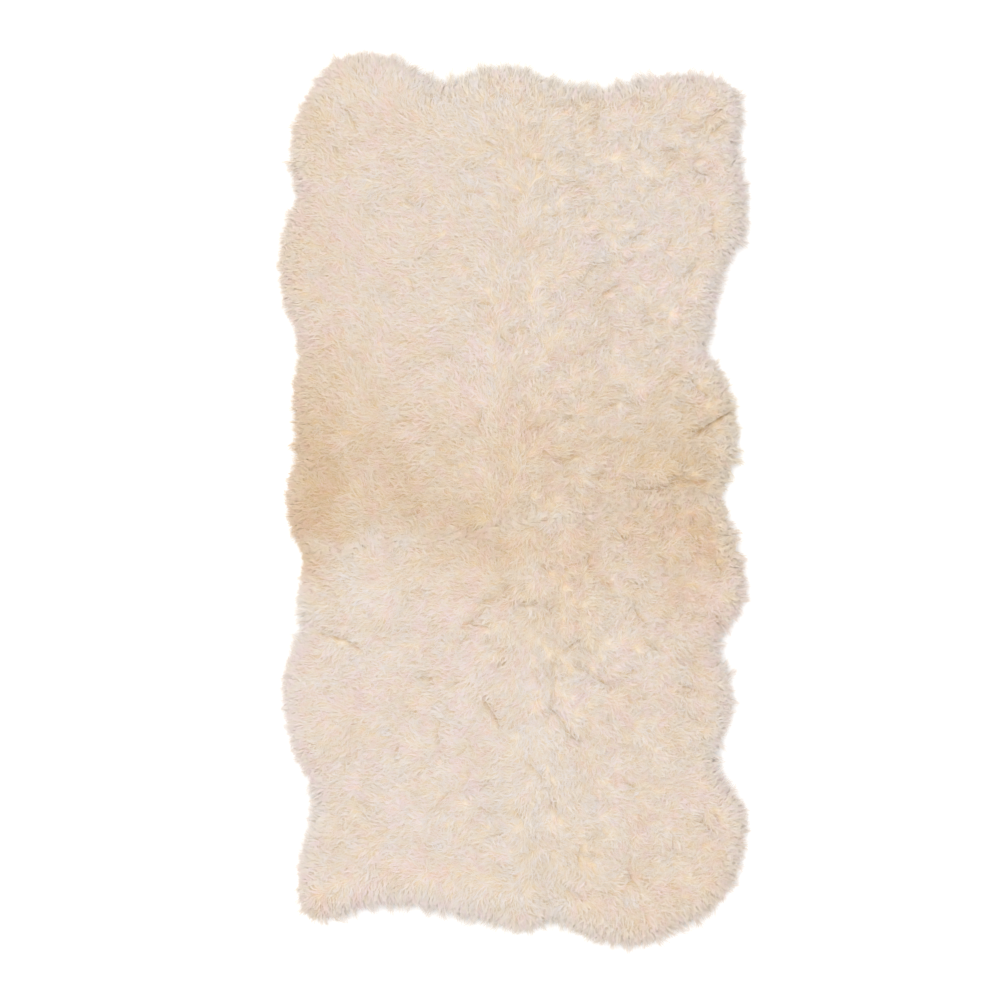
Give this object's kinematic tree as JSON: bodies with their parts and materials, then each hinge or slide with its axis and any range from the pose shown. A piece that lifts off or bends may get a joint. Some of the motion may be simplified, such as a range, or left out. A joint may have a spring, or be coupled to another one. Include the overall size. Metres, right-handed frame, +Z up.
{
  "type": "sheepskin rug",
  "caption": "Long ivory sheepskin floor rug with a dense, soft wool pile and a scalloped natural outline, made of whole pelts sewn end to end.",
  "frame": {"origin": "on the floor under the middle of the rug's box", "axes": "+X across the rug, +Y along it towards the far pelt's neck, +Z up out of the wool"},
  "size_m": [0.952, 1.8046, 0.0474],
  "materials": {
    "wool": "soft matt natural wool in warm ivory, tinged tan where the pelts meet",
    "hide": "napped, matt tanned skin side",
    "thread": "matt waxed sewing thread"
  },
  "bodies": {
    "root": {"far_pelt": "wool", "near_pelt": "wool"}
  },
  "joints": []
}
